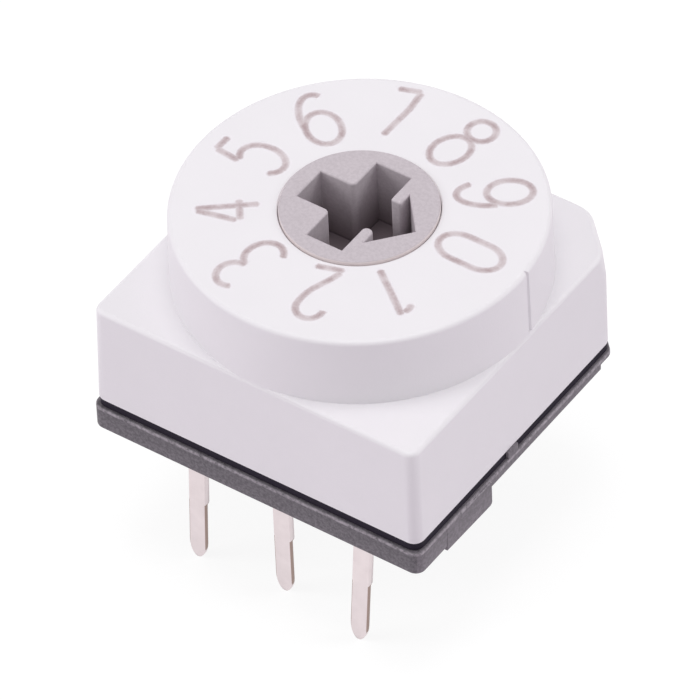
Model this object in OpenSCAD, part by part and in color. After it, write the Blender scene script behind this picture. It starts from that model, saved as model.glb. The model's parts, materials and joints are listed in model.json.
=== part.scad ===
/* [Housing] */
// Width of the square housing at its lower edge
housing_w = 9.8; // [9.4:0.1:14]
// Height of the housing's side, from its lower edge up to the deck
housing_h = 3.05; // [2.8:0.05:5]
// How far the sides lean in for each millimetre of height
draft = 0.02; // [0.005:0.005:0.04]
// Thickness of the side walls
wall = 0.8; // [0.6:0.05:1]
// Thickness of the deck over the rotor's flange
deck_t = 0.85; // [0.6:0.05:1.2]
// Radius of the upright corner edges
corner_r = 0.3; // [0.1:0.05:0.5]
// Radius of the edge round the deck
deck_edge_r = 0.12; // [0.05:0.01:0.3]
// Leg of the upright cut corner that marks the switch's direction
corner_cut = 1.24; // [0.8:0.02:1.8]
// Radius of the cut corner's two edges at the deck
cut_edge_r = 0.8; // [0.3:0.05:0.9]
// How much longer the cut's leg gets towards the deck
cut_lean = 0.09; // [0:0.01:0.15]
// Height of the leaning part of the cut
cut_lean_h = 0.8; // [0.4:0.05:1.2]

/* [Dial boss] */
// Height of the round boss over the deck
boss_h = 2.05; // [1.7:0.05:4]
// How far the boss stands in from the flat sides
boss_set_in = 0.02; // [0:0.01:1]
// Radius of the rim round the dial
boss_rim_r = 0.12; // [0.05:0.01:0.3]
// Width of the index nick in the boss's side
nick_w = 0.2; // [0.1:0.02:0.4]
// Depth of the index nick
nick_depth = 0.1; // [0.04:0.01:0.2]
// Width of the nick's steep near flank
nick_flank = 0.05; // [0.02:0.01:0.08]
// Direction of the index nick, counted from +X
nick_angle = 4; // [0:1:30]

/* [Rotor] */
// Diameter of the rotor's shaft
shaft_d = 4.02; // [3.8:0.02:5]
// Radial running gap of the shaft and the pivot
running_gap = 0.03; // [0.02:0.01:0.08]
// How far the rotor's top stands over the dial
rotor_rise = 0.09; // [0:0.01:0.3]
// Thickness of the notched flange
flange_t = 0.8; // [0.6:0.05:1.1]
// Play between the flange's top and the deck
flange_play = 0.05; // [0.03:0.01:0.1]
// Gap between the flange and the inside of the walls
flange_gap = 0.6; // [0.5:0.05:1]
// Diameter of the pivot under the flange
pivot_d = 1.2; // [0.9:0.05:1.4]
// Length of the pivot inside the base
pivot_l = 0.65; // [0.4:0.05:0.7]

/* [Driver slot] */
// Width of the cross's arms
slot_w = 1.04; // [0.7:0.02:1.1]
// Reach of the cross's arms from the axis
slot_reach = 1.52; // [1.3:0.02:1.6]
// Depth of the slot
slot_depth = 2; // [1:0.05:2.05]
// Thickness of the webs between the cross and the arrow head
web_t = 0.3; // [0.2:0.02:0.4]
// How far the upper web ends short of the cross's arm
web_short = 0.08; // [0.02:0.02:0.12]
// Reach of the arrow head's point from the axis
arrow_reach = 1.68; // [1.5:0.01:1.7]
// Half the width of the arrow head's back
arrow_half_w = 1.3; // [1:0.02:1.3]

/* [Detent] */
// Number of positions of the switch
positions = 10; // [6:2:16]
// Depth of the notches in the flange
notch_depth = 0.2; // [0.1:0.02:0.3]
// Radius of the notches
notch_r = 0.6; // [0.4:0.05:0.7]
// Thickness of the leaf springs
leaf_t = 0.12; // [0.08:0.01:0.16]
// Height of the leaf springs
leaf_h = 0.6; // [0.4:0.05:0.6]
// Distance from the middle of the spring's nose to its leaf
nose_h = 0.46; // [0.42:0.02:0.56]
// Radius of the spring's nose
nose_r = 0.3; // [0.2:0.05:0.4]
// How far the leaf's ends reach into the walls
leaf_seat = 0.2; // [0.1:0.02:0.3]

/* [Shaft seal] */
// Thickness of the o-ring's cord
oring_cord = 0.46; // [0.36:0.02:0.6]
// Width of the o-ring's groove
groove_w = 0.56; // [0.5:0.02:0.7]
// Height of the groove's lower edge over the flange
groove_up = 0.2; // [0.15:0.05:0.4]

/* [Contacts] */
// Thickness of the code disc
disc_t = 0.1; // [0.06:0.01:0.15]
// Free height between the base's floor and the code disc
contact_room = 0.6; // [0.45:0.05:0.9]
// Rim of the flange left round the code disc
disc_margin = 0.06; // [0.04:0.01:0.1]
// Distance from the flange's edge to the middle of the stakes
stake_in = 0.22; // [0.2:0.01:0.24]
// Distance from the flange's edge to the middle of the outermost code track
track_in = 0.55; // [0.52:0.01:0.6]
// Distance between code tracks
track_pitch = 0.4; // [0.38:0.01:0.42]
// Width of the code windows
window_w = 0.28; // [0.2:0.02:0.32]
// Distance from the innermost code track to the common track
common_in = 0.45; // [0.4:0.01:0.5]
// Width of the contact springs
wiper_w = 0.24; // [0.16:0.02:0.28]
// Thickness of the contact springs
wiper_t = 0.08; // [0.05:0.01:0.1]
// Length of the contact springs' welded feet
wiper_foot_l = 0.55; // [0.4:0.05:0.6]
// Length of each slope of the contact springs' tips
wiper_tip_l = 0.16; // [0.12:0.01:0.2]
// Distance from the axis to the common contact spring's foot, along the spring
common_foot = 1.8; // [1.7:0.05:2]
// Gap drawn between a contact spring's tip and the code disc
wiper_gap = 0.03; // [0.02:0.01:0.06]
// Diameter of the stakes that hold the code disc
stake_d = 0.22; // [0.16:0.02:0.24]

/* [Base] */
// How far the base's lip stands out past the housing's lower edge
lip_out = 0.06; // [0.02:0.01:0.1]
// Height of the base's side at its bars, from their underside to the lip
base_side_h = 0.75; // [0.65:0.05:1]
// Thickness of the lip
lip_t = 0.35; // [0.25:0.05:0.45]
// Radius of the lip's upright corner edges
lip_corner_r = 0.28; // [0.15:0.01:0.5]
// Gap between the lip and the housing's lower edge
shadow_gap = 0.22; // [0.15:0.01:0.4]
// Play between the base's plug and the walls
plug_play = 0.05; // [0.02:0.01:0.1]
// Height of the feet under the bars
foot_h = 0.13; // [0.1:0.01:0.4]
// Length of the side feet
foot_l = 1.95; // [1.5:0.05:2.4]
// Distance from the front of the lip to the side feet
foot_back = 1.25; // [1.2:0.05:1.4]
// Width of the side feet
foot_w = 0.75; // [0.5:0.05:1]
// How far the side feet stand out past the lip
foot_out = 0.04; // [0:0.01:0.08]
// Width of the front and rear bars
bar_w = 1.75; // [1.6:0.05:1.9]
// Distance from the lip's sides to the ends of the rear bar
rear_bar_in = 1.46; // [1.36:0.02:1.6]
// Width of the feet at the ends of the rear bar
rear_foot_w = 0.5; // [0.35:0.05:0.55]
// Length of the thinner stretch of the lip at the cut corner
relief_l = 1.76; // [1.4:0.02:2]
// Height by which the lip is thinner there
relief_h = 0.19; // [0.05:0.01:0.22]

/* [Keys and snaps] */
// Length of the keys that stand on the lip and carry the housing
key_l = 0.44; // [0.2:0.02:0.5]
// Depth of the keys, counted from the lip's side
key_t = 0.2; // [0.14:0.02:0.3]
// Distance from the middle to the key's near end
key_off = 0.51; // [0.5:0.01:0.9]
// Length of the snap ridges on the plug
snap_l = 3; // [2:0.1:3.4]
// Height of the snap ridges' slopes
snap_h = 0.18; // [0.12:0.02:0.2]
// How far the snap ridges stand out
snap_out = 0.14; // [0.1:0.01:0.2]
// Play round the snap ridges
snap_play = 0.03; // [0.02:0.01:0.05]
// How far the seal's edge lies in from the housing's side
seal_set_in = 0.02; // [0:0.01:0.1]

/* [Pins] */
// Distance between pins in a row
pin_pitch = 2.54; // [2.5:0.02:2.56]
// Distance from the housing's side to the pins of the nearer row, 7.62 between the rows
row_in = 1.09; // [1.05:0.01:1.2]
// Width of the pins
pin_w = 0.5; // [0.4:0.02:0.56]
// Thickness of the strip that the terminals are stamped from
strip_t = 0.2; // [0.16:0.01:0.24]
// Thickness of the coined lower length of the pins
coined_t = 0.12; // [0.08:0.01:0.15]
// Length of the pins below the board's face
pin_l = 4.03; // [3:0.01:5]
// Length of the full thickness below the board's face
shoulder_l = 2.15; // [1:0.05:2.5]
// Length of the pins' tapered tips
tip_l = 0.5; // [0.3:0.05:0.7]
// Width of the pins at the end of their tips
tip_w = 0.2; // [0.1:0.02:0.3]
// Lean of the front row's pins in degrees, left to right, as on a handled switch
front_lean = [-3, 0, -6]; // [-8:0.5:8]
// Width of the terminals' plates in the base
plate_w = 0.62; // [0.5:0.02:0.66]
// Gap between the metal and the plastic moulded round it
mould_gap = 0.01; // [0.005:0.005:0.02]
// Depth of the epoxy round the pins
epoxy_depth = 0.25; // [0.15:0.05:0.3]
// Width of the epoxy round the pins
epoxy_w = 1; // [0.8:0.05:1.1]
// How far the epoxy runs past the middle of the outer pins
epoxy_end = 0.6; // [0.5:0.05:0.7]

/* [Hidden] */
$fn = 64;

// Small overlap that joins solids of one piece, and overrun of a cut
joint = 0.05;
// Height of the thin slices that the housing's tapered sides are stretched over
slice = 0.002;
// Segments in each rounded corner of an outline
corner_steps = 6;
// Slices in the rounded edge of the deck
edge_steps = 3;
// Segments in the rounded rim of the boss
rim_steps = 6;
// Facets of the large rounds, of the cord of the ring, and of the bends in strip metal
large_fn = 128;
cord_fn = 32;
bend_fn = 24;
// Number of code tracks, one for each weight
code_tracks = 4;
// How much shorter the cut corner's leg gets for each millimetre that an outline stands in
cut_loss = 2 - sqrt(2);

// Heights, counted from the board's face under the feet
bar_z = foot_h;
lip_z = bar_z + base_side_h;
skirt_z = lip_z + shadow_gap;
deck_z = skirt_z + housing_h;
dial_z = deck_z + boss_h;
ceiling_z = deck_z - deck_t;
flange_top_z = ceiling_z - flange_play;
flange_z = flange_top_z - flange_t;
disc_z = flange_z - disc_t;
floor_z = disc_z - contact_room;
plate_z = lip_z - lip_t;
rotor_top_z = dial_z + rotor_rise;

// Half widths and radii that follow from the housing
cavity_w = housing_w - 2 * wall;
cavity_cut = corner_cut - wall * cut_loss;
plug_w = cavity_w - 2 * plug_play;
plug_cut = cavity_cut - plug_play * cut_loss;
deck_w = housing_w - 2 * draft * housing_h;
deck_cut = corner_cut - (housing_w - deck_w);
row_pitch = housing_w - 2 * row_in;
base_w = housing_w + 2 * lip_out;
lip_cut = corner_cut + lip_out;
rear_bar_l = base_w - 2 * rear_bar_in;
boss_r = deck_w / 2 - boss_set_in;
boss_top_r = boss_r - draft * boss_h;
shaft_r = shaft_d / 2;
bore_r = shaft_r + running_gap;
flange_r = cavity_w / 2 - flange_gap;
disc_r = flange_r - disc_margin;
stake_r = flange_r - stake_in;
pivot_r = pivot_d / 2;
pivot_bore_r = pivot_r + running_gap;
groove_r = bore_r - oring_cord - running_gap / 2;
track_r = flange_r - track_in - (code_tracks - 1) * track_pitch;
common_r = track_r - common_in;
leaf_r = flange_r + running_gap + nose_r + nose_h;
leaf_half_l = cavity_w / 2 * sqrt(2) - leaf_r;

// Directions of the two leaf springs and of the notch that each rests in
leaf_angles = [135, 315];
// Directions of the stakes, one between every second pair of notches
stake_angles = [for (i = [0 : 2 : positions - 1]) leaf_angles[0] + 360 * (i + 0.5) / positions];
// Weight, track number, row, end and pin place of each code contact. Row -1 is the front one,
// end -1 the left, and pin places are counted in pitches from the middle
codes = [[1, 3, -1, -1, -1], [2, 2, -1, 1, 1], [4, 1, 1, -1, -1], [8, 0, 1, 1, 0]];

// Pin places of a row. The rear one has no pin at the right
function pin_places(row) = row < 0 ? [-1, 0, 1] : [-1, 0];
function contact_y(code) = code[2] * (track_r + code[1] * track_pitch);

// Points of a square outline with rounded corners of radius r, one of them cut at 45 degrees with
// edges of radius e
function arc_points(c, r, a0, a1) =
    [for (i = [0 : corner_steps])
        let (a = a0 + (a1 - a0) * i / corner_steps) [c[0] + r * cos(a), c[1] + r * sin(a)]];
function cut_square(w, cut, r, e) =
    let (h = w / 2, k = e * tan(22.5))
    concat(
        arc_points([-h + r, -h + r], r, 180, 270),
        arc_points([h - r, -h + r], r, 270, 360),
        arc_points([h - e, h - cut - k], e, 0, 45),
        arc_points([h - cut - k, h - e], e, 45, 90),
        arc_points([-h + r, h - r], r, 90, 180));

module cut_slab(w, cut, r, e, z0, z1) {
    translate([0, 0, z0])
        linear_extrude(z1 - z0)
            polygon(cut_square(w, cut, r, e));
}

module slab(w, cut, r, z0, z1) {
    cut_slab(w, cut, r, r, z0, z1);
}

// A strip of metal that follows points in a plane, with round bends
module strip(points, t) {
    for (i = [0 : len(points) - 2]) {
        a = points[i];
        b = points[i + 1];
        d = b - a;
        translate(a)
            rotate(atan2(d[1], d[0]))
                translate([0, -t / 2])
                    square([norm(d), t]);
    }
    for (i = [1 : len(points) - 2])
        translate(points[i])
            circle(d = t, $fn = bend_fn);
}

module housing_shell() {
    lean_z = deck_z - cut_lean_h;
    spread = 2 * draft * cut_lean_h;
    hull() {
        slab(housing_w, corner_cut, corner_r, skirt_z, skirt_z + slice);
        slab(deck_w + spread, deck_cut + spread, corner_r, lean_z - slice, lean_z);
        for (i = [0 : edge_steps]) {
            a = 90 * i / edge_steps;
            inset = deck_edge_r * (1 - cos(a));
            z = deck_z - deck_edge_r * (1 - sin(a));
            cut_slab(deck_w - 2 * inset, deck_cut + cut_lean - inset * cut_loss, corner_r, cut_edge_r,
                z - slice, z);
        }
    }
}

module boss() {
    foot_z = deck_z - deck_t / 2;
    rim = [for (i = [0 : rim_steps])
        let (a = 90 * i / rim_steps)
        [boss_top_r - boss_rim_r * (1 - cos(a)), dial_z - boss_rim_r * (1 - sin(a))]];
    rotate_extrude($fn = large_fn)
        polygon(concat([[0, foot_z], [boss_r, foot_z], [boss_r, deck_z]], rim, [[0, dial_z]]));
}

module index_nick() {
    rotate(nick_angle)
        translate([0, 0, deck_z])
            linear_extrude(boss_h + joint)
                polygon([[boss_top_r - nick_depth, 0], [boss_r + joint, -nick_flank],
                    [boss_r + joint, nick_w - nick_flank]]);
}

// Ridge with sloping flanks along both sides, the same for the plug and its groove
module snap_ridges(half_w, play) {
    out = snap_out + play;
    h = snap_h + play;
    for (side = [0, 180])
        rotate(side)
            translate([half_w, snap_l / 2 + play, (skirt_z + floor_z) / 2])
                rotate([90, 0, 0])
                    linear_extrude(snap_l + 2 * play)
                        polygon([[-joint, -h], [0, -h], [out, -h / 3], [out, h / 3], [0, h],
                            [-joint, h]]);
}

// Leaf spring seen from above, lying across a corner with its nose towards the axis
module leaf_outline() {
    half = leaf_half_l + leaf_seat;
    foot = nose_r + leaf_t + nose_h;
    strip([[-half, 0], [-foot, 0], [-nose_r + leaf_t / 2, -nose_h],
        [nose_r - leaf_t / 2, -nose_h], [foot, 0], [half, 0]], leaf_t);
    translate([0, -nose_h])
        intersection() {
            difference() {
                circle(r = nose_r);
                circle(r = nose_r - leaf_t);
            }
            translate([-nose_r, -nose_r])
                square([2 * nose_r, nose_r]);
        }
}

module leaf_spring(angle) {
    rotate(angle - 90)
        translate([0, leaf_r, flange_z + (flange_t - leaf_h) / 2])
            linear_extrude(leaf_h)
                leaf_outline();
}

module detent_spring_left() {
    color("silver")
        leaf_spring(leaf_angles[0]);
}

module detent_spring_right() {
    color("silver")
        leaf_spring(leaf_angles[1]);
}

// Straight seat for a leaf's ends, open towards the base
module leaf_seat_cut(angle) {
    half = leaf_half_l + leaf_seat + mould_gap;
    top = flange_z + (flange_t + leaf_h) / 2 + mould_gap;
    slot_t = leaf_t + 2 * mould_gap;
    rotate(angle - 90)
        translate([-half, leaf_r - slot_t / 2, floor_z])
            cube([2 * half, slot_t, top - floor_z]);
}

module housing() {
    color("white")
        difference() {
            union() {
                housing_shell();
                boss();
            }
            slab(cavity_w, cavity_cut, corner_r, skirt_z - joint, ceiling_z);
            translate([0, 0, ceiling_z - joint])
                cylinder(r = bore_r, h = dial_z - ceiling_z + 2 * joint);
            index_nick();
            snap_ridges(cavity_w / 2 - plug_play, snap_play);
            for (angle = leaf_angles)
                leaf_seat_cut(angle);
        }
}

// Rounding of a corner that stands out into the slot, cut from the quadrant that turn points to
module slot_round(x, y, turn) {
    r = web_t / 2;
    translate([x, y])
        rotate(turn)
            difference() {
                square(r);
                translate([r, r])
                    circle(r = r);
            }
}

module driver_slot() {
    half = slot_w / 2;
    arrow_back = half + web_t;
    translate([0, 0, rotor_top_z - slot_depth])
        linear_extrude(slot_depth + joint) {
            translate([-half, -slot_reach])
                square([slot_w, 2 * slot_reach]);
            translate([-slot_reach, -half])
                square([slot_reach + arrow_back + joint, slot_w]);
            polygon([[arrow_back, arrow_half_w], [arrow_back + joint, arrow_half_w], [arrow_reach, 0],
                [arrow_back + joint, -arrow_half_w], [arrow_back, -arrow_half_w]]);
            translate([half - joint, half - joint])
                square([web_t + 2 * joint, web_short + joint]);
            slot_round(-half, half, 90);
            slot_round(-half, -half, 180);
            slot_round(half, -half, 270);
            slot_round(arrow_back, -half, 180);
        }
}

module rotor() {
    groove_z = flange_top_z + groove_up;
    color("gainsboro")
        difference() {
            union() {
                translate([0, 0, flange_z])
                    difference() {
                        cylinder(r = flange_r, h = flange_t);
                        for (i = [0 : positions - 1])
                            rotate(leaf_angles[0] + 360 * i / positions)
                                translate([flange_r - notch_depth + notch_r, 0, -joint])
                                    cylinder(r = notch_r, h = flange_t + 2 * joint);
                    }
                translate([0, 0, flange_z])
                    cylinder(r = shaft_r, h = rotor_top_z - flange_z);
                translate([0, 0, floor_z - pivot_l])
                    cylinder(r = pivot_r, h = flange_z - floor_z + pivot_l + joint);
                for (angle = stake_angles)
                    rotate(angle)
                        translate([stake_r, 0, disc_z])
                            cylinder(d = stake_d, h = disc_t + joint);
            }
            driver_slot();
            translate([0, 0, groove_z])
                difference() {
                    cylinder(r = shaft_r + joint, h = groove_w);
                    translate([0, 0, -joint])
                        cylinder(r = groove_r, h = groove_w + 2 * joint);
                }
        }
}

module o_ring() {
    z = flange_top_z + groove_up + groove_w / 2;
    color("dimgray")
        translate([0, 0, z])
            rotate_extrude($fn = large_fn)
                translate([groove_r + oring_cord / 2 + mould_gap, 0])
                    circle(d = oring_cord, $fn = cord_fn);
}

// True where the code weight is off in that position of the switch
function is_off(weight, position) = floor(position / weight) % 2 == 0;

// One code window, a little wider than the step so that neighbouring windows join
module code_window(radius, angle) {
    step = 360 / positions;
    spread = 1.1 * step;
    rotate(angle - spread / 2)
        translate([0, 0, disc_z - joint])
            rotate_extrude(angle = spread, $fn = large_fn)
                translate([radius - window_w / 2, 0])
                    square([window_w, disc_t + 2 * joint]);
}

module code_disc() {
    color("gold")
        difference() {
            translate([0, 0, disc_z])
                cylinder(r = disc_r, h = disc_t, $fn = large_fn);
            translate([0, 0, disc_z - joint])
                cylinder(r = pivot_r + mould_gap, h = disc_t + 2 * joint);
            for (angle = stake_angles)
                rotate(angle)
                    translate([stake_r, 0, disc_z - joint])
                        cylinder(d = stake_d + 2 * mould_gap, h = disc_t + 2 * joint);
            for (i = [0 : positions - 1])
                rotate(leaf_angles[0] + 360 * i / positions)
                    translate([flange_r - notch_depth + notch_r, 0, disc_z - joint])
                        cylinder(r = notch_r + mould_gap, h = disc_t + 2 * joint);
            for (code = codes, position = [0 : positions - 1])
                if (is_off(code[0], position))
                    code_window(track_r + code[1] * track_pitch,
                        90 * code[2] + position * 360 / positions);
        }
}

// Contact spring seen from its side: welded foot, rising arm and a rounded tip at the origin
module wiper_spring(reach) {
    rise = contact_room - wiper_gap;
    rotate([90, 0, 0])
        translate([0, 0, -wiper_w / 2])
            linear_extrude(wiper_w)
                strip([[-reach - wiper_foot_l / 2, wiper_t / 2],
                    [-reach + wiper_foot_l / 2, wiper_t / 2], [-wiper_tip_l, rise - wiper_t],
                    [0, rise - wiper_t / 2], [wiper_tip_l, rise - wiper_t],
                    [2 * wiper_tip_l, rise - 2 * wiper_t]], wiper_t);
}

module code_wiper(code) {
    color("goldenrod")
        translate([0, contact_y(code), floor_z])
            rotate(code[3] < 0 ? 0 : 180)
                wiper_spring(pin_pitch);
}

module wiper_common() {
    color("goldenrod")
        translate([-common_r, 0, floor_z])
            rotate(90)
                wiper_spring(common_foot);
}

// One pin below its plate: straight to the feet, then leaning, with a coined and tapered end
module pin(x, row, lean, gap) {
    t = strip_t + 2 * gap;
    w = pin_w + 2 * gap;
    translate([x, row * row_pitch / 2, 0])
        rotate(row < 0 ? 0 : 180) {
            translate([-w / 2, -t / 2, -joint])
                cube([w, t, floor_z + joint]);
            if (gap == 0)
                rotate([lean, 0, 0]) {
                    translate([-w / 2, -t / 2, -shoulder_l])
                        cube([w, t, shoulder_l]);
                    rotate([90, 0, 0])
                        translate([0, 0, strip_t / 2 - coined_t])
                            linear_extrude(coined_t)
                                polygon([[-w / 2, -shoulder_l + joint], [-w / 2, -pin_l + tip_l],
                                    [-tip_w / 2, -pin_l], [tip_w / 2, -pin_l],
                                    [w / 2, -pin_l + tip_l], [w / 2, -shoulder_l + joint]]);
                }
        }
}

module plate(x0, x1, y0, y1, gap) {
    translate([min(x0, x1) - gap, min(y0, y1) - gap, floor_z - strip_t - gap])
        cube([abs(x1 - x0) + 2 * gap, abs(y1 - y0) + 2 * gap, strip_t + gap]);
}

// Plate from the contact spring's foot to the pin's row, and along the row where the pin is not
// at the same end
module code_terminal_solid(code, gap) {
    row = code[2];
    x = code[3] * pin_pitch;
    x_pin = code[4] * pin_pitch;
    y_pad = contact_y(code) - row * plate_w / 2;
    y_leg = row * (row_pitch / 2 + strip_t / 2);
    plate(x - plate_w / 2, x + plate_w / 2, y_pad, y_leg, gap);
    if (x_pin < x)
        plate(x_pin - plate_w / 2, x, y_leg - row * plate_w, y_leg, gap);
    pin(x_pin, row, row < 0 ? front_lean[1 + code[4]] : 0, gap);
}

module common_terminal_solid(gap) {
    reach = row_pitch / 2 + strip_t / 2;
    ring_r = pivot_bore_r + plate_w;
    difference() {
        union() {
            plate(-plate_w / 2, plate_w / 2, -reach, 0, gap);
            plate(-common_r - plate_w / 2, plate_w / 2, -common_foot - plate_w / 2,
                -common_foot + plate_w / 2, gap);
            translate([0, 0, floor_z - strip_t - gap])
                cylinder(r = ring_r + gap, h = strip_t + gap);
        }
        translate([0, 0, floor_z - strip_t - gap - joint])
            cylinder(r = pivot_bore_r + strip_t - gap, h = strip_t + gap + 2 * joint);
    }
    pin(0, -1, front_lean[1], gap);
}

module code_terminal(code) {
    color("silver")
        code_terminal_solid(code, 0);
}

module terminal_common() {
    color("silver")
        common_terminal_solid(0);
}

module epoxy_block(row, gap) {
    places = pin_places(row);
    l = (len(places) - 1) * pin_pitch + 2 * epoxy_end;
    translate([places[0] * pin_pitch - epoxy_end - gap, row * row_pitch / 2 - epoxy_w / 2 - gap,
            bar_z - gap])
        cube([l + 2 * gap, epoxy_w + 2 * gap, epoxy_depth + gap]);
}

module terminal_seal(row) {
    color("darkslategray")
        difference() {
            epoxy_block(row, 0);
            for (place = pin_places(row))
                pin(place * pin_pitch, row, 0, mould_gap);
        }
}

// Keys on both sides of the lip, the same for their seats in the seal
module lip_keys(top, play) {
    for (side = [0, 180])
        rotate(side)
            translate([base_w / 2 - key_t - play, -key_off - key_l - play, lip_z - joint])
                cube([key_t, key_l + 2 * play, top - lip_z + joint]);
}

module base() {
    color("dimgray")
        difference() {
            union() {
                slab(base_w, lip_cut, lip_corner_r, plate_z, lip_z);
                slab(plug_w, plug_cut, corner_r, plate_z, floor_z);
                snap_ridges(plug_w / 2, 0);
                lip_keys(skirt_z, 0);
                intersection() {
                    slab(base_w, lip_cut, lip_corner_r, bar_z, lip_z);
                    union() {
                        translate([-base_w / 2, -base_w / 2, bar_z])
                            cube([base_w, bar_w, base_side_h - lip_t / 2]);
                        translate([-rear_bar_l / 2, base_w / 2 - bar_w, bar_z])
                            cube([rear_bar_l, bar_w, base_side_h - lip_t / 2]);
                    }
                }
                for (side = [-1, 1]) {
                    translate([side * (base_w / 2 + foot_out - foot_w / 2) - foot_w / 2,
                            -base_w / 2 + foot_back, 0])
                        cube([foot_w, foot_l, lip_z - lip_t / 4]);
                    translate([side * (rear_bar_l / 2 - rear_foot_w / 2) - rear_foot_w / 2,
                            base_w / 2 - bar_w, 0])
                        cube([rear_foot_w, bar_w, plate_z]);
                }
            }
            translate([rear_bar_l / 2, base_w / 2 - relief_l, plate_z - joint])
                cube([rear_bar_in + joint, relief_l + joint, relief_h + joint]);
            translate([0, 0, floor_z - pivot_l - flange_play])
                cylinder(r = pivot_bore_r, h = pivot_l + flange_play + joint);
            for (code = codes)
                code_terminal_solid(code, mould_gap);
            common_terminal_solid(mould_gap);
            for (row = [-1, 1])
                epoxy_block(row, mould_gap);
        }
}

module base_seal() {
    color("black")
        difference() {
            slab(housing_w - 2 * seal_set_in, corner_cut - seal_set_in * cut_loss, corner_r,
                lip_z, skirt_z);
            slab(plug_w, plug_cut, corner_r, lip_z - joint, skirt_z + joint);
            lip_keys(skirt_z + joint, mould_gap);
        }
}

housing();
rotor();
o_ring();
code_disc();
detent_spring_left();
detent_spring_right();
base();
base_seal();
code_terminal(codes[0]);  // terminal_1
code_terminal(codes[1]);  // terminal_2
code_terminal(codes[2]);  // terminal_4
code_terminal(codes[3]);  // terminal_8
terminal_common();
code_wiper(codes[0]);  // wiper_1
code_wiper(codes[1]);  // wiper_2
code_wiper(codes[2]);  // wiper_4
code_wiper(codes[3]);  // wiper_8
wiper_common();
terminal_seal(-1);  // terminal_seal_front
terminal_seal(1);  // terminal_seal_rear
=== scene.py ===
"""Looks of a sealed rotary code switch: a white housing with a round dial, a slotted grey rotor, a
dark base on feet and five tinned pins. Pieces are modelled in millimetres and settled in metres."""
import json
import math

import bmesh
import bpy
from mathutils import Matrix, Vector

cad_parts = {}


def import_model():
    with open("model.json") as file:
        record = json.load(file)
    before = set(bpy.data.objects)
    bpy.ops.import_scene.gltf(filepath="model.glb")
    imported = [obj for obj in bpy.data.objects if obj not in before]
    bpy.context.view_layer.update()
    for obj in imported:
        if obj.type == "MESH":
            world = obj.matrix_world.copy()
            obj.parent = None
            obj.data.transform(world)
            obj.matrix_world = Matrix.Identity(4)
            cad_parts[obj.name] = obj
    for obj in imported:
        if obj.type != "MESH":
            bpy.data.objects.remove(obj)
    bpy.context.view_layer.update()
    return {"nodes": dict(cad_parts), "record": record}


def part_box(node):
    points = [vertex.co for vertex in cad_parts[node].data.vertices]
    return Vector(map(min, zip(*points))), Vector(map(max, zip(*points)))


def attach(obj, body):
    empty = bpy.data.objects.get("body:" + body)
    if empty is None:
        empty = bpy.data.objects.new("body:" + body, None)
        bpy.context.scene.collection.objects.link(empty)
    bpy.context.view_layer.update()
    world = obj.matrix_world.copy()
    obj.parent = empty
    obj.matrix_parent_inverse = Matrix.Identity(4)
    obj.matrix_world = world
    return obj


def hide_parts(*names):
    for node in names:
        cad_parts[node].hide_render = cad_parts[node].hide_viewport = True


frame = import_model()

MM = 0.001

# Points closer than FUSE are one point, and NEAR is how far one may lie from where it is looked for
FUSE = 0.0001
NEAR = 0.01
# How far a cutter runs past the surface that it opens
OVERRUN = 0.05
SMOOTH_ANGLE = 35

# A side turns by 45 degrees into a cut corner, so rounding there takes HALF_TURN times the radius
# off both. The cut gets shorter by CUT_LOSS for each millimetre that the sides move in
HALF_TURN = math.tan(math.radians(22.5))
CUT_LOSS = 2 - math.sqrt(2)


def corners(node):
    """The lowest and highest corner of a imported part, in millimetres."""
    low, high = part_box(node)
    return low / MM, high / MM


housing_low, housing_high = corners("housing")
rotor_low, rotor_high = corners("rotor")
base_low, base_high = corners("base")
pins_low = corners("terminal_4")[0]

# Housing and dial
housing_w = housing_high.x - housing_low.x
skirt_z = housing_low.z
dial_z = housing_high.z
boss_h = 2.05
deck_z = dial_z - boss_h
# Each side leans in by this much for each millimetre of height
draft = 0.02
wall = 0.8
deck_t = 0.85
ceiling_z = deck_z - deck_t
corner_r = 0.3
corner_cut = 1.24
# Under the deck the cut corner leans in by cut_lean over the height of cut_lean_h
cut_edge_r = 0.8
cut_lean = 0.09
cut_lean_h = 0.8
edge_r = 0.12
skirt_edge_r = 0.03
boss_foot_r = 4.819
boss_top_r = 4.778
# The boss runs almost flush into the sides, and its shading blends with theirs up to this height
blend_h = 0.05
bore_r = 2.04
bore_flare = 0.03
nick_angle = 4
nick_w = 0.2
nick_depth = 0.1
nick_flank = 0.05

# Rotor
shaft_r = 2.02
rotor_top_z = rotor_high.z
flange_r = 3.5
flange_z = 2.45
flange_top_z = 3.25
groove_z = 3.45
groove_w = 0.56
groove_r = 1.565
shaft_edge_r = 0.05
pivot_r = 0.6
pivot_z = rotor_low.z
positions = 10
first_notch = 135
notch_r = 0.6
notch_depth = 0.2
stake_r = 3.28
stake_d = 0.22
disc_z = 2.35
slot_depth = 2.0
slot_w = 1.04
slot_reach = 1.52
# A web on each side parts the slot's cross arm from its arrow head, and one web is shorter
web_t = 0.3
web_short = 0.08
arrow_reach = 1.68
arrow_half_w = 1.3
slot_edge_r = 0.07
# A little less than half the web, so that its end keeps a flat between the two roundings
slot_corner_r = web_t / 2 - 0.005
web_end_r = 0.065
# The whole slot lies closer to the axis than this, inside the shaft's rounded edge
slot_room_r = shaft_r - 2 * shaft_edge_r

# Base
base_w = base_high.y - base_low.y
floor_z = base_high.z
lip_z = 0.86
plate_z = 0.53
bar_z = 0.13
lip_corner_r = 0.28
lip_cut = corner_cut + (base_w - housing_w) / 2
lip_edge_r = 0.05
plug_play = 0.05
plug_w = housing_w - 2 * (wall + plug_play)
plug_cut = corner_cut - (wall + plug_play) * CUT_LOSS
bar_w = 1.75
rear_bar_l = 7.0
side_foot_w = 0.75
side_foot_l = 1.95
side_foot_back = 1.25
side_foot_top = 0.79
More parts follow.
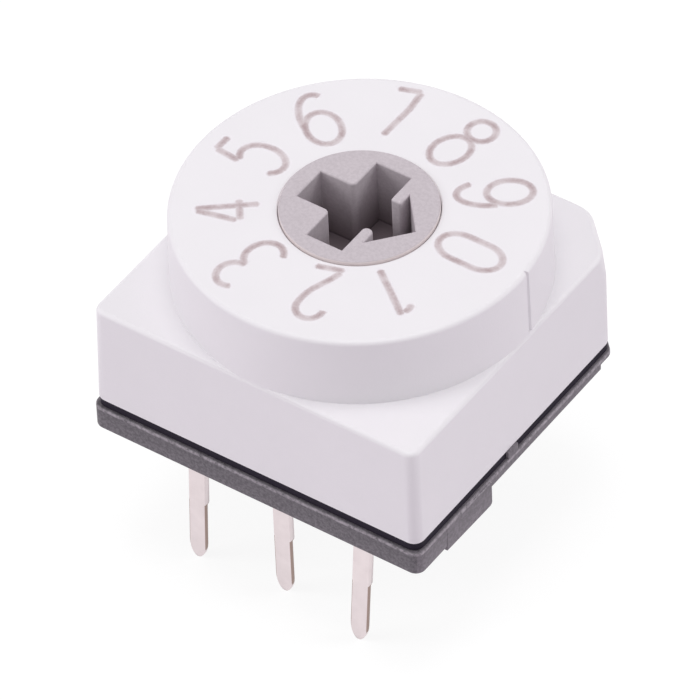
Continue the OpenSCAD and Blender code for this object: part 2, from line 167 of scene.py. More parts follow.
# The side feet narrow to the front, where they still stand out by this much
side_foot_front_out = 0.008
side_foot_heel_r = 0.12
rear_foot_w = 0.5
foot_edge_r = 0.03
relief_l = 1.76
relief_h = 0.19
key_t = 0.2
key_l = 0.44
key_off = 0.51
key_root = 0.1
pivot_bore_r = 0.63
pivot_bore_depth = 0.7
trough_end = 0.61
trough_half_w = 0.51
trough_depth = 0.25

# Terminals
pin_pitch = 2.54
row_y = housing_w / 2 - 1.09
pin_w = 0.5
strip_t = 0.2
coined_t = 0.12
coin_step = 0.04
strip_edge_r = 0.015
shoulder_z = -2.15
pin_z = pins_low.z
tip_l = 0.5
# How many degrees the front pins lean out below the base, by their place in the row
front_lean = {-1: 3, 0: 0, 1: 6}
plate_w = 0.62
common_r = 1.3
common_foot = 1.8
# End that the plate lies at, row of its pin, how far its welding pad lies from the middle, and
# the pin's place in the row
codes = {"terminal_1": (-1, -1, 2.95, -1), "terminal_2": (1, -1, 2.55, 1),
         "terminal_4": (-1, 1, 2.15, -1), "terminal_8": (1, 1, 1.75, 0)}


# Tools of the bench

def clear_selection():
    """Closes an open piece and deselects everything."""
    if bpy.context.mode != "OBJECT":
        bpy.ops.object.mode_set(mode="OBJECT")
    bpy.ops.object.select_all(action="DESELECT")


def hold(piece):
    """Makes the piece the only one that operators act on."""
    clear_selection()
    piece.select_set(True)
    bpy.context.view_layer.objects.active = piece


def start(name):
    """Names the new primitive, puts its place and size into its mesh and opens it for editing."""
    piece = bpy.context.object
    piece.name = name
    bpy.ops.object.transform_apply(location=True, rotation=True, scale=True)
    bpy.ops.object.mode_set(mode="EDIT")
    return piece


def edit(piece):
    """Opens the piece for editing."""
    hold(piece)
    bpy.ops.object.mode_set(mode="EDIT")


def pick(kind, wanted):
    """Selects the wanted faces or edges of the open piece, and nothing else."""
    data = bpy.context.edit_object.data
    bpy.ops.mesh.select_mode(type=kind)
    bpy.ops.mesh.select_all(action="DESELECT")
    mesh = bmesh.from_edit_mesh(data)
    for item in mesh.faces if kind == "FACE" else mesh.edges:
        item.select_set(bool(wanted(item)))
    bmesh.update_edit_mesh(data)


def pick_faces(test):
    """Selects the faces whose centre and normal pass the test."""
    pick("FACE", lambda face: test(face.calc_center_median(), face.normal))


def pick_edges(test):
    """Selects the edges whose two ends pass the test."""
    pick("EDGE", lambda edge: test(edge.verts[0].co, edge.verts[1].co))


def pick_sharp(test, angle=40):
    """Selects the edges between faces that meet at more than the angle, if their ends pass the test."""
    limit = math.radians(angle)
    pick("EDGE", lambda edge: len(edge.link_faces) == 2 and edge.calc_face_angle(0) > limit
         and test(edge.verts[0].co, edge.verts[1].co))


def round_edges(radius, segments=3):
    """Rounds the selected edges."""
    bpy.ops.mesh.bevel(offset=radius, offset_type="OFFSET", segments=segments, profile=0.5,
                       affect="EDGES", clamp_overlap=True)


def draw_out(x=0.0, y=0.0, z=0.0):
    """Extrudes the selected faces by that much."""
    bpy.ops.mesh.extrude_region_move(TRANSFORM_OT_translate={"value": (x, y, z)})


def widen(x, y, centre):
    """Makes the selection wider or narrower about a point."""
    bpy.ops.transform.resize(value=(x, y, 1), center_override=centre)


def slice_all(point, normal, drop_outer=False):
    """Cuts edges round the whole piece along a plane, and drops what lies beyond it if asked."""
    bpy.ops.mesh.select_all(action="SELECT")
    bpy.ops.mesh.bisect(plane_co=point, plane_no=normal, use_fill=drop_outer,
                        clear_outer=drop_outer, threshold=FUSE)


def upward(centre, normal):
    """Whether a face looks up."""
    return normal.z > 0.5


def downward(centre, normal):
    """Whether a face looks down."""
    return normal.z < -0.5


def upright(a, b):
    """Whether an edge stands up."""
    return abs((b - a).normalized().z) > 0.9


def box(name, low, high):
    """A block between two corners, open for editing."""
    low, high = Vector(low), Vector(high)
    clear_selection()
    bpy.ops.mesh.primitive_cube_add(size=1, location=(low + high) / 2, scale=high - low)
    return start(name)


def rod(name, radius, low_z, high_z, centre=(0, 0), sides=128):
    """A round block along Z, open for editing."""
    clear_selection()
    bpy.ops.mesh.primitive_cylinder_add(vertices=sides, radius=radius, depth=high_z - low_z,
                                        location=(*centre, (low_z + high_z) / 2))
    return start(name)


def cut_block(name, width, cut, radius, low_z, high_z, lean=0.0):
    """A square block with rounded upright corners, one of them cut, open for editing."""
    half = width / 2
    piece = box(name, (-half, -half, low_z), (half, half, high_z))
    if lean:
        shrink = 1 - 2 * lean * (high_z - low_z) / width
        pick_faces(upward)
        widen(shrink, shrink, (0, 0, high_z))
    middle = half - cut / 2
    slice_all((middle, middle, low_z), (1, 1, 0), drop_outer=True)
    on_cut = width - cut - radius
    pick_edges(lambda a, b: upright(a, b) and (a + b).xy.dot((1, 1)) / 2 > on_cut)
    round_edges(radius * HALF_TURN, 4)
    pick_sharp(lambda a, b: upright(a, b), 80)
    round_edges(radius, 6)
    return piece


def wedge(name, tip, back, low_y, high_y, low_z, high_z):
    """An upright block with three sides: one edge at the tip on the X axis, and a flat back."""
    piece = box(name, (min(tip, back), low_y, low_z), (max(tip, back), high_y, high_z))
    for y in (low_y, high_y):
        outward = Vector((y, tip - back, 0)) * math.copysign(1, y * (tip - back))
        slice_all((tip, 0, 0), outward, drop_outer=True)
    return piece


def turn(piece, degrees):
    """Closes the piece and turns its mesh about the switch's axis."""
    clear_selection()
    piece.data.transform(Matrix.Rotation(math.radians(degrees), 4, "Z"))


def copy_of(piece):
    """A second piece with a mesh of its own."""
    clear_selection()
    made = piece.copy()
    made.data = piece.data.copy()
    bpy.context.collection.objects.link(made)
    return made


def combine(piece, other, operation):
    """Joins the other block to the piece, cuts it out, or keeps what both hold."""
    hold(piece)
    modifier = piece.modifiers.new(operation.lower(), "BOOLEAN")
    modifier.operation = operation
    modifier.solver = "EXACT"
    modifier.object = other
    bpy.ops.object.modifier_apply(modifier=modifier.name)
    bpy.data.objects.remove(other, do_unlink=True)


def settle(piece, body, slot, *nodes):
    """Cleans the mesh, brings it to metres and smooths it, hides the CAD nodes that it replaces, and
    gives the piece its body and the finish of its slot."""
    edit(piece)
    bpy.ops.mesh.select_all(action="SELECT")
    bpy.ops.mesh.remove_doubles(threshold=FUSE)
    bpy.ops.mesh.normals_make_consistent(inside=False)
    bpy.ops.object.mode_set(mode="OBJECT")
    bpy.ops.transform.resize(value=(MM, MM, MM), center_override=(0, 0, 0))
    bpy.ops.object.transform_apply(location=True, rotation=True, scale=True)
    bpy.ops.object.shade_smooth_by_angle(angle=math.radians(SMOOTH_ANGLE))
    modifier = piece.modifiers.new("even shading", "WEIGHTED_NORMAL")
    modifier.keep_sharp = True
    bpy.ops.object.modifier_apply(modifier=modifier.name)
    if nodes:
        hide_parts(*nodes)
    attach(piece, body)
    piece.data.materials.clear()
    piece.data.materials.append(finishes[slot])


# Finishes

class Value:
    """A socket of a material's nodes. Arithmetic on it adds Math nodes."""

    def __init__(self, finish, socket):
        self.finish = finish
        self.socket = socket

    def __add__(self, other):
        return self.finish.maths("ADD", self, other)

    def __sub__(self, other):
        return self.finish.maths("SUBTRACT", self, other)

    def __rsub__(self, other):
        return self.finish.maths("SUBTRACT", other, self)

    def __mul__(self, other):
        return self.finish.maths("MULTIPLY", self, other)

    def __truediv__(self, other):
        return self.finish.maths("DIVIDE", self, other)

    def __gt__(self, other):
        return self.finish.maths("GREATER_THAN", self, other)

    def __lt__(self, other):
        return self.finish.maths("LESS_THAN", self, other)

    def __abs__(self):
        return self.finish.maths("ABSOLUTE", self)

    __radd__ = __add__
    __rmul__ = __mul__


class Nodes:
    """The nodes of a material or of the surroundings."""

    def __init__(self, owner):
        owner.use_nodes = True
        self.tree = owner.node_tree
        self.tree.nodes.clear()

    def node(self, kind, settings=None, sockets=None):
        """Adds a node: its type, then its settings, then the values or links of its sockets."""
        made = self.tree.nodes.new(kind)
        for name, value in (settings or {}).items():
            setattr(made, name, value)
        for name, value in (sockets or {}).items():
            self.feed(made, name, value)
        return made

    def feed(self, node, name, value):
        """Sets a socket to a value, or links it to one."""
        socket = next(s for s in node.inputs if name in (s.identifier, s.name))
        if isinstance(value, Value):
            self.tree.links.new(value.socket, socket)
        else:
            socket.default_value = value

    def out(self, node, name):
        """What a node gives at one of its sockets."""
        socket = next(s for s in node.outputs if name in (s.identifier, s.name))
        return Value(self, socket)

    def maths(self, operation, *terms):
        """The result of a Math node."""
        made = self.node("ShaderNodeMath", {"operation": operation})
        for socket, term in zip(made.inputs, terms):
            if isinstance(term, Value):
                self.tree.links.new(term.socket, socket)
            else:
                socket.default_value = term
        return Value(self, made.outputs[0])

    def seen_ray(self):
        """1 for rays that the eye, a gloss or a clear body sends, 0 for light itself."""
        path = self.node("ShaderNodeLightPath")
        eye, gloss, clear = (self.out(path, name) for name in (
            "Is Camera Ray", "Is Glossy Ray", "Is Transmission Ray"))
        return self.maths("MINIMUM", eye + gloss + clear, 1.0)

    def mix(self, amount, first, second):
        """The first colour where the amount is 0, and the second where it is 1."""
        made = self.node("ShaderNodeMix", {"data_type": "RGBA"}, {
            "Factor_Float": amount, "A_Color": first, "B_Color": second})
        return self.out(made, "Result_Color")


class Finish(Nodes):
    """A material whose pattern is read in the piece's own place."""

    def __init__(self, name, **constants):
        self.material = bpy.data.materials.new(name)
        super().__init__(self.material)
        self.surface = self.node("ShaderNodeBsdfPrincipled", sockets=constants)
        self.node("ShaderNodeOutputMaterial", sockets={"Surface": self.out(self.surface, "BSDF")})
        self.place = self.out(self.node("ShaderNodeTexCoord"), "Object")

    def noise(self, size, detail=2.0, roughness=0.5, stretch=(1, 1, 1)):
        """Noise between 0 and 1 with features of about that size in millimetres."""
        place = self.place
        if stretch != (1, 1, 1):
            place = self.out(self.node("ShaderNodeMapping", sockets={
                "Vector": place, "Scale": stretch}), "Vector")
        made = self.node("ShaderNodeTexNoise", sockets={
            "Vector": place, "Scale": 1 / (size * MM), "Detail": detail, "Roughness": roughness})
        return self.out(made, "Fac")

    def ramp(self, value, low, high):
        """0 up to the low value, 1 from the high one, and a soft rise between them."""
        made = self.node("ShaderNodeMapRange", {"interpolation_type": "SMOOTHSTEP"}, {
            "Value": value, "From Min": low, "From Max": high})
        return self.out(made, "Result")

    def along(self, axis):
        """How far the surface lies along an axis, in millimetres."""
        made = self.node("ShaderNodeSeparateXYZ", sockets={"Vector": self.place})
        return self.out(made, axis) / MM

    def bump(self, height, depth):
        """Relief whose full height is that many millimetres."""
        made = self.node("ShaderNodeBump", sockets={
            "Height": height, "Distance": depth * MM, "Strength": 1.0})
        return self.out(made, "Normal")

    def paint(self, **sockets):
        """Feeds the surface and gives the finished material."""
        for name, value in sockets.items():
            self.feed(self.surface, name.replace("_", " "), value)
        return self.material


def tone(red, green, blue):
    """A colour given as it looks on a screen, from 0 to 255."""
    def linear(part):
        part = part / 255
        return part / 12.92 if part < 0.04045 else ((part + 0.055) / 1.055) ** 2.4
    return (linear(red), linear(green), linear(blue), 1.0)


def white_plastic():
    """Satin white moulding with a faint cloudy tone and the fine skin of a spark-eroded mould."""
    finish = Finish("white_plastic", IOR=1.5)
    clouds = finish.noise(1.6, 3)
    skin = finish.noise(0.05, 2, 0.6)
    return finish.paint(
        Base_Color=finish.mix(clouds, tone(235, 232, 236), tone(231, 228, 232)),
        Roughness=0.42 + 0.12 * skin,
        Normal=finish.bump(skin, 0.003))


def number_print():
    """Laser marking: an uneven warm grey that fades into the white at a stroke's edge."""
    finish = Finish("number_print", IOR=1.5)
    grain = finish.noise(0.05, 3, 0.7)
    patches = finish.ramp(finish.noise(0.35, 2), 0.3, 0.7)
    height = (finish.along("Z") - dial_z) / print_h
    ink = finish.ramp(height + 0.3 * (grain - 0.5), 0.5, 1.1) * (0.74 + 0.34 * patches)
    colour = finish.mix(patches, tone(186, 168, 170), tone(172, 151, 154))
    return finish.paint(
        Base_Color=finish.mix(ink, tone(234, 230, 235), colour),
        Roughness=0.5 + 0.15 * grain,
        Normal=finish.bump(grain, 0.002))


def grey_plastic():
    """Satin light grey moulding with a fine speckle, with painted shade that darkens the slot with
    depth and a painted light on the shaft's outer wall.
    """
    finish = Finish("grey_plastic", IOR=1.5)
    clouds = finish.noise(0.5, 3)
    skin = finish.noise(0.04, 2, 0.6)
    speckle = finish.ramp(finish.noise(0.09, 3, 0.7), 0.33, 0.67)
    face = finish.mix(0.4 * clouds + 0.6 * speckle, tone(201, 192, 198), tone(184, 175, 181))
    x, y = finish.along("X"), finish.along("Y")
    from_axis = finish.maths("SQRT", x * x + y * y)
    # Painted light: the shaft's outer wall is made paler than the top so that it looks as bright
    rim = finish.ramp(from_axis, shaft_r - 0.02, shaft_r - 0.002)
    # Painted shade: down in the slot the walls and floor are painted darker with depth
    depth = (rotor_top_z - finish.along("Z")) * (from_axis < slot_room_r)
    wall_painted_shade = finish.mix(finish.ramp(depth, 0.5, slot_depth + 0.3), face, tone(130, 117, 122))
    slot_painted_shade = finish.mix(finish.ramp(depth, slot_depth - 0.1, slot_depth), wall_painted_shade,
                           tone(104, 92, 97))
    return finish.paint(
        Base_Color=finish.mix(rim, slot_painted_shade, tone(222, 210, 210)),
        Roughness=0.42 + 0.15 * skin,
        Normal=finish.bump(skin, 0.002))


def dark_plastic():
    """Dark grey moulding filled with glass fibre: mottled and darker towards its top, with painted
    light on its left and right sides and a painted highlight along the lip's upper edge."""
    finish = Finish("dark_plastic", IOR=1.5)
    speckle = finish.noise(0.06, 3, 0.7)
    mottle = finish.ramp(finish.noise(0.09, 3, 0.7), 0.33, 0.67)
    highlight_flecks = finish.ramp(finish.noise(0.12, 3, 0.7), 0.3, 0.66)
    height = finish.along("Z")
    # Painted light: the left and right sides are paler than the front and back
    across = abs(finish.along("X")) > base_w / 2 - 0.1
    # Painted highlight, flecked, along the lip's rounded upper edge
    edge = (finish.ramp(height, lip_z - 0.12, lip_z - 0.07)
            - finish.ramp(height, lip_z - 0.035, lip_z)) * highlight_flecks
    low = finish.mix(across, tone(84, 79, 86), tone(108, 102, 109))
    body = finish.mix(mottle, low, finish.mix(across, tone(118, 112, 119), tone(132, 125, 133)))
    dim = finish.ramp(height, bar_z, lip_z - 0.1)
    return finish.paint(
        Base_Color=finish.mix(0.52 * edge, finish.mix(0.18 * dim, body, tone(50, 46, 52)),
                              tone(205, 197, 205)),
        Roughness=0.45 + 0.2 * speckle,
        Normal=finish.bump(speckle, 0.004))


def black_rubber():
    """Matt black rubber with a slightly uneven skin."""
    finish = Finish("black_rubber", IOR=1.5)
    skin = finish.noise(0.12, 3, 0.6)
    return finish.paint(
        Base_Color=finish.mix(skin, tone(26, 20, 34), tone(38, 31, 46)),
        Roughness=0.6 + 0.2 * skin,
        Specular_IOR_Level=0.2,
        Normal=finish.bump(skin, 0.01))


def tinned_strip():
    """Tin over rolled copper alloy: streaks along the strip, and the narrow sides below the shoulder
    duller as shear-cut metal and darker as painted shade.
    """
    finish = Finish("tinned_strip", Metallic=1.0)
    streaks = finish.noise(0.12, 3, 0.6, (1, 1, 0.12))
    patches = finish.noise(0.35, 2)
    across = finish.along("X") / pin_pitch
    nearest = finish.maths("ROUND", across)
    # The narrow sides below the shoulder: duller shear-cut metal, with painted shade that darkens them
    sheared_and_shaded = (abs(across - nearest) * pin_pitch > pin_w / 2 - 0.02) * (
        finish.along("Z") < shoulder_z)
    face = finish.mix(patches, tone(236, 224, 226), tone(221, 209, 211))
    return finish.paint(
        Base_Color=finish.mix(sheared_and_shaded, face, tone(168, 147, 140)),
        Roughness=0.28 + 0.2 * streaks + 0.12 * sheared_and_shaded,
        Normal=finish.bump(streaks, 0.004))


def plated(name, bright, dull, rough):
    """Smooth plated or rolled metal with faint streaks."""
    finish = Finish(name, Metallic=1.0)
    streaks = finish.noise(0.1, 3, 0.6, (0.2, 1, 1))
    return finish.paint(
        Base_Color=finish.mix(streaks, bright, dull),
        Roughness=rough + 0.15 * streaks,
        Normal=finish.bump(streaks, 0.002))


def epoxy():
    """Cast black resin, glossy, a little wavy."""
    finish = Finish("epoxy", IOR=1.55)
    waves = finish.noise(0.8, 2)
    return finish.paint(
        Base_Color=finish.mix(waves, tone(38, 38, 42), tone(48, 47, 52)),
        Roughness=0.12 + 0.1 * waves,
        Normal=finish.bump(waves, 0.03))


# Pieces

def housing():
    """White cover: a tapered square block with the dial's boss on it, hollowed from below."""
    piece = cut_block("housing_cover", housing_w, corner_cut, corner_r, skirt_z, deck_z, draft)
    lean_cut()
    pick_edges(lambda a, b: min(a.z, b.z) > deck_z - FUSE)
    round_edges(edge_r, 4)
    pick_edges(lambda a, b: max(a.z, b.z) < skirt_z + FUSE)
    round_edges(skirt_edge_r, 2)

    boss = rod("boss", boss_foot_r, deck_z - deck_t / 2, dial_z, sides=192)
    pick_faces(upward)
    narrow = boss_top_r / boss_foot_r
    widen(narrow, narrow, (0, 0, dial_z))
    slice_all((0, 0, deck_z + blend_h), (0, 0, 1))
    pick_edges(lambda a, b: min(a.z, b.z) > dial_z - FUSE)
    round_edges(edge_r, 6)
    combine(piece, boss, "UNION")

    inside = housing_w - 2 * wall
    cavity = cut_block("cavity", inside, corner_cut - wall * CUT_LOSS, corner_r,
                       skirt_z - OVERRUN, ceiling_z)
    combine(piece, cavity, "DIFFERENCE")

    bore = rod("bore", bore_r, ceiling_z - OVERRUN, dial_z - bore_flare)
    pick_faces(upward)
    draw_out(z=bore_flare + OVERRUN)
    flare = 1 + (bore_flare + OVERRUN) / bore_r
    widen(flare, flare, (0, 0, dial_z))
    combine(piece, bore, "DIFFERENCE")

    nick = wedge("nick", boss_top_r - nick_depth, boss_foot_r + OVERRUN, -nick_flank,
                 nick_w - nick_flank, deck_z, dial_z + OVERRUN)
    turn(nick, nick_angle)
    combine(piece, nick, "DIFFERENCE")
    settle(piece, "case", "white_plastic", "housing")


def lean_cut():
    """Leans the cut corner in under the deck and makes its two edges rounder up there."""
    slice_all((0, 0, deck_z - cut_lean_h), (0, 0, 1))
    lean = draft * (deck_z - skirt_z)
    side = housing_w / 2 - lean
    end = side - corner_cut + 2 * lean
    wider = cut_edge_r / corner_r
    for corner, shift in (((side, end), (0, -cut_lean, 0)), ((end, side), (-cut_lean, 0, 0))):
        pick_edges(lambda a, b: min(a.z, b.z) > deck_z - FUSE and all(
            (point.xy - Vector(corner)).length < corner_r / 2 for point in (a, b)))
        widen(wider, wider, (*corner, deck_z))
        bpy.ops.transform.translate(value=shift)


def rotor():
    """Grey actuator: notched flange, shaft with the seal's groove, pivot, and the driver slot."""
    piece = rod("rotor_shaft", flange_r, flange_z, flange_top_z)
    steps = [(shaft_r, groove_z), (groove_r, groove_z + groove_w), (shaft_r, rotor_top_z)]
    radius, height = flange_r, flange_top_z
    for next_radius, next_height in steps:
        pick_faces(lambda centre, normal: upward(centre, normal) and centre.z > height - FUSE)
        draw_out()
        scale = next_radius / radius
        widen(scale, scale, (0, 0, height))
        draw_out(z=next_height - height)
        radius, height = next_radius, next_height
    pick_faces(lambda centre, normal: downward(centre, normal) and centre.z < flange_z + FUSE)
    draw_out()
    scale = pivot_r / flange_r
    widen(scale, scale, (0, 0, flange_z))
    draw_out(z=pivot_z - flange_z)
    pick_edges(lambda a, b: min(a.z, b.z) > rotor_top_z - FUSE)
    round_edges(shaft_edge_r, 4)

    step = 360 / positions
    for i in range(positions):
        notch = rod("notch", notch_r, flange_z - OVERRUN, flange_top_z + OVERRUN,
                    (flange_r - notch_depth + notch_r, 0), 48)
        turn(notch, first_notch + i * step)
        combine(piece, notch, "DIFFERENCE")
    for i in range(0, positions, 2):
        stake = rod("stake", stake_d / 2, disc_z, flange_z + OVERRUN, (stake_r, 0), 24)
        turn(stake, first_notch + (i + 0.5) * step)
        combine(piece, stake, "UNION")
    for cutter in slot_cutters():
        combine(piece, cutter, "DIFFERENCE")
    soften_slot(piece)
    settle(piece, "rotor", "grey_plastic", "rotor")


def slot_cutters():
    """The blocks whose space makes the driver slot: two arms, the webs' end and an arrow head."""
    low, high = rotor_top_z - slot_depth, rotor_top_z + OVERRUN
    half = slot_w / 2
    back = half + web_t
    yield box("arm_across", (-half, -slot_reach, low), (half, slot_reach, high))
    yield box("arm_along", (-slot_reach, -half, low), (back + OVERRUN, half, high))
    yield box("web_end", (0, 0, low), (back + OVERRUN, half + web_short, high))
    yield wedge("arrow", arrow_reach, back, -arrow_half_w, arrow_half_w, low, high)


def soften_slot(piece):
    """Rounds the upright edges that stand into the slot, and then the slot's rim."""
    edit(piece)
    half = slot_w / 2
    back = half + web_t
    web_end = half + web_short
    rounded = [(slot_corner_r, 5, [(-half, half), (-half, -half), (half, -half), (back, -half)]),
               (web_end_r, 4, [(half, web_end), (back, web_end)])]
    for radius, segments, places in rounded:
        pick_edges(lambda a, b: upright(a, b) and b.z > flange_top_z and any(
            (a.xy - Vector(place)).length < NEAR for place in places))
        round_edges(radius, segments)
    pick_sharp(lambda a, b: min(a.z, b.z) > rotor_top_z - FUSE
               and max(a.xy.length, b.xy.length) < slot_room_r)
    round_edges(slot_edge_r, 4)


def base(strips):
    """Dark moulding: a lip with its plug, two bars, four feet and two keys, round the strips."""
    piece = cut_block("base_body", base_w, lip_cut, lip_corner_r, plate_z, lip_z)
    pick_edges(lambda a, b: min(a.z, b.z) > lip_z - FUSE)
    round_edges(lip_edge_r, 3)
    pick_edges(lambda a, b: max(a.z, b.z) < plate_z + FUSE)
    round_edges(lip_edge_r, 3)

    half = base_w / 2
    bars = base_bars()
    relief = box("relief", (rear_bar_l / 2, half - relief_l, plate_z - OVERRUN),
                 (half + OVERRUN, half + OVERRUN, plate_z + relief_h))
    combine(piece, relief, "DIFFERENCE")
    combine(piece, bars, "UNION")

    plug = cut_block("plug", plug_w, plug_cut, corner_r, plate_z + OVERRUN, floor_z)
    pick_edges(lambda a, b: min(a.z, b.z) > floor_z - FUSE)
    round_edges(lip_edge_r, 2)
    combine(piece, plug, "UNION")

    for side in (-1, 1):
        ends = sorted((side * rear_bar_l / 2, side * (rear_bar_l / 2 - rear_foot_w)))
        foot = box("rear_foot", (ends[0], half - bar_w, 0), (ends[1], half, plate_z))
        bpy.ops.mesh.select_all(action="SELECT")
        round_edges(foot_edge_r, 3)
        combine(piece, foot, "UNION")
    for angle in (0, 180):
        key = box("key", (half - key_t, -key_off - key_l, lip_z - key_root),
                  (half, -key_off, skirt_z))
        pick_edges(lambda a, b: min(a.z, b.z) > skirt_z - FUSE or (
            upright(a, b) and a.x > half - FUSE))
        round_edges(foot_edge_r, 2)
        turn(key, angle)
        combine(piece, key, "UNION")

    pocket = rod("pocket", pivot_bore_r, floor_z - pivot_bore_depth, floor_z + OVERRUN, sides=64)
    combine(piece, pocket, "DIFFERENCE")
    # The front row holds three pins, and the rear row two
    for row, last in ((-1, 1), (1, 0)):
        trough = box("trough", (-pin_pitch - trough_end, row * row_y - trough_half_w, 0),
                     (last * pin_pitch + trough_end, row * row_y + trough_half_w,
                      bar_z + trough_depth))
        combine(piece, trough, "DIFFERENCE")
    for strip in strips:
        combine(piece, copy_of(strip), "DIFFERENCE")
    combine(piece, side_feet(), "UNION")
    settle(piece, "case", "dark_plastic", "base")


def base_bars():
    """The bars that the two rows of pins pass through, within the base's outline."""
    bars = cut_block("bars", base_w, lip_cut, lip_corner_r, bar_z, lip_z - lip_edge_r)
    pick_edges(lambda a, b: max(a.z, b.z) < bar_z + FUSE)
    round_edges(lip_edge_r, 3)
    half = base_w / 2
    front = box("front", (-half, -half, bar_z), (half, -half + bar_w, lip_z))
    rear = box("rear", (-rear_bar_l / 2, half - bar_w, bar_z), (rear_bar_l / 2, half, lip_z))
    combine(front, rear, "UNION")
    combine(bars, front, "INTERSECT")
    return bars


def side_feet():
    """The two feet at the base's sides, their outer faces narrowing to the front."""
    half = base_w / 2
    out = base_high.x
    front_end = -half + side_foot_back
    feet = []
    for side in (-1, 1):
        ends = sorted((side * out, side * (out - side_foot_w)))
        foot = box("foot", (ends[0], front_end, 0),
                   (ends[1], front_end + side_foot_l, side_foot_top))
        pick_edges(lambda a, b: upright(a, b) and a.y < front_end + FUSE and abs(a.x) > half)
        inward = -side * (out - half - side_foot_front_out)
        bpy.ops.transform.translate(value=(inward, 0, 0))
        pick_edges(lambda a, b: min(a.y, b.y) > front_end + FUSE and max(a.z, b.z) < FUSE)
        round_edges(side_foot_heel_r, 5)
        pick_sharp(lambda a, b: max(a.y, b.y) > front_end + FUSE)
        round_edges(foot_edge_r, 3)
        feet.append(foot)
    combine(*feet, "UNION")
    return feet[0]


def pin(x, row, lean):
    """One pin: down through the base, then leaning, coined thinner below its shoulder."""
    y = row * row_y
    half_t = strip_t / 2
    top_z = floor_z - OVERRUN
    piece = box("pin", (x - pin_w / 2, y - half_t, 0), (x + pin_w / 2, y + half_t, top_z))
    slope = -row * math.tan(math.radians(lean))
    shoulder, tip_start, end = (z * math.cos(math.radians(lean))
                                for z in (shoulder_z, pin_z + tip_l, pin_z))

    def lengthen(to_z, from_z):
        pick_faces(lambda centre, normal: downward(centre, normal) and centre.z < from_z + NEAR)
        drop = to_z - from_z
        draw_out(y=slope * drop, z=drop)

    lengthen(shoulder, 0)
    outer = y + slope * shoulder + row * half_t
    draw_out(z=-coin_step)
    widen(1, coined_t / strip_t, (x, outer, shoulder))
    lengthen(tip_start, shoulder - coin_step)
    # The tip narrows along a quarter of an oval, which stops short of 90 degrees to keep a flat
    turns = [math.radians(angle) for angle in range(0, 91, 14)]
    for last, now in zip(turns, turns[1:]):
        lengthen(tip_start + (end - tip_start) * math.sin(now),
                 tip_start + (end - tip_start) * math.sin(last))
        widen(math.cos(now) / math.cos(last), 1, (x, 0, end))
    pick_sharp(lambda a, b: min(a.z, b.z) < top_z - NEAR, 30)
    round_edges(strip_edge_r, 2)
    return piece


def terminal(name, code):
    """A code terminal: its plate in the base's floor, bent round to the pin if that stands apart."""
    end, row, pad_y, pin_place = code
    x = end * pin_pitch
    pin_x = pin_place * pin_pitch
    pad = row * (pad_y - plate_w / 2)
    leg = row * (row_y + strip_t / 2)
    plate = box(name + "_strip", (x - plate_w / 2, min(pad, leg), floor_z - strip_t),
                (x + plate_w / 2, max(pad, leg), floor_z))
    if pin_x < x:
        arm = box("arm", (pin_x - plate_w / 2, leg - row * plate_w, floor_z - strip_t),
                  (x, leg, floor_z))
        combine(plate, arm, "UNION")
    combine(plate, pin(pin_x, row, front_lean[pin_place] if row < 0 else 0), "UNION")
    return plate


def common_terminal():
    """The common terminal: a ring round the pivot, a side plate and the front row's middle pin."""
    plate = box("terminal_common_strip", (-plate_w / 2, -row_y - strip_t / 2, floor_z - strip_t),
                (plate_w / 2, 0, floor_z))
    side = box("side", (-common_r - plate_w / 2, -common_foot - plate_w / 2, floor_z - strip_t),
               (plate_w / 2, -common_foot + plate_w / 2, floor_z))
    combine(plate, side, "UNION")
    combine(plate, rod("ring", pivot_bore_r + plate_w, floor_z - strip_t, floor_z, sides=64),
            "UNION")
    combine(plate, rod("eye", pivot_bore_r + strip_t, 0, floor_z + OVERRUN, sides=64), "DIFFERENCE")
    combine(plate, pin(0, -1, front_lean[0]), "UNION")
    return plate


# Dial numbers

stroke_w = 0.3
print_h = 0.006
pen_taper = 0.12
pen_lightest = 0.4


def arc(centre, radii, start_angle, end_angle, steps=20):
    """Points along part of an oval, counted in degrees from the right, anticlockwise."""
    turns = [start_angle + (end_angle - start_angle) * i / steps for i in range(steps + 1)]
    return [(centre[0] + radii[0] * math.cos(math.radians(a)),
             centre[1] + radii[1] * math.sin(math.radians(a))) for a in turns]


# Each number's strokes, in points: how far right of its own middle line, and how far from the
# dial's axis
number_strokes = [
    [arc((-0.18, 3.50), (0.44, 0.58), 0, 180) + arc((-0.18, 2.88), (0.44, 0.58), 180, 360)
     + [(0.26, 3.50)]],
    [[(-0.10, 3.62), (0.05, 3.80), (0.28, 3.92)], [(0.31, 4.02), (0.29, 3.2), (0.27, 2.18)]],
    [arc((0.18, 3.67), (0.36, 0.40), 180, -20) + [
        (0.47, 3.36), (0.40, 3.20), (0.30, 3.03), (0.17, 2.86), (0.04, 2.70), (-0.08, 2.54),
        (-0.17, 2.40), (-0.25, 2.25)],
     [(-0.36, 2.25), (0.54, 2.24)]],
    [arc((0.12, 3.84), (0.40, 0.44), 145, -90), arc((0.14, 2.87), (0.44, 0.53), 90, -150)],
    [[(0.22, 4.15), (0.30, 2.40)], [(0.18, 4.12), (-0.28, 2.98)], [(-0.32, 2.96), (0.56, 2.98)]],
    [[(-0.24, 4.23), (0.43, 4.21)], [(-0.14, 4.30), (-0.22, 3.44)],
     arc((0.15, 3.03), (0.46, 0.63), 140, -150)],
    [arc((0.17, 3.40), (0.49, 0.92), 55, 200), arc((0.13, 3.05), (0.45, 0.60), 90, 450, 24)],
    [[(-0.36, 4.40), (0.42, 4.42)], [(0.35, 4.47), (0.20, 3.75), (-0.03, 3.1), (-0.20, 2.60)]],
    [arc((-0.25, 4.04), (0.37, 0.37), 90, 450), arc((-0.21, 3.02), (0.45, 0.58), 90, 450, 24)],
    [arc((-0.34, 3.74), (0.43, 0.58), 90, 450, 24), arc((-0.33, 3.28), (0.44, 0.87), 15, -150)],
]


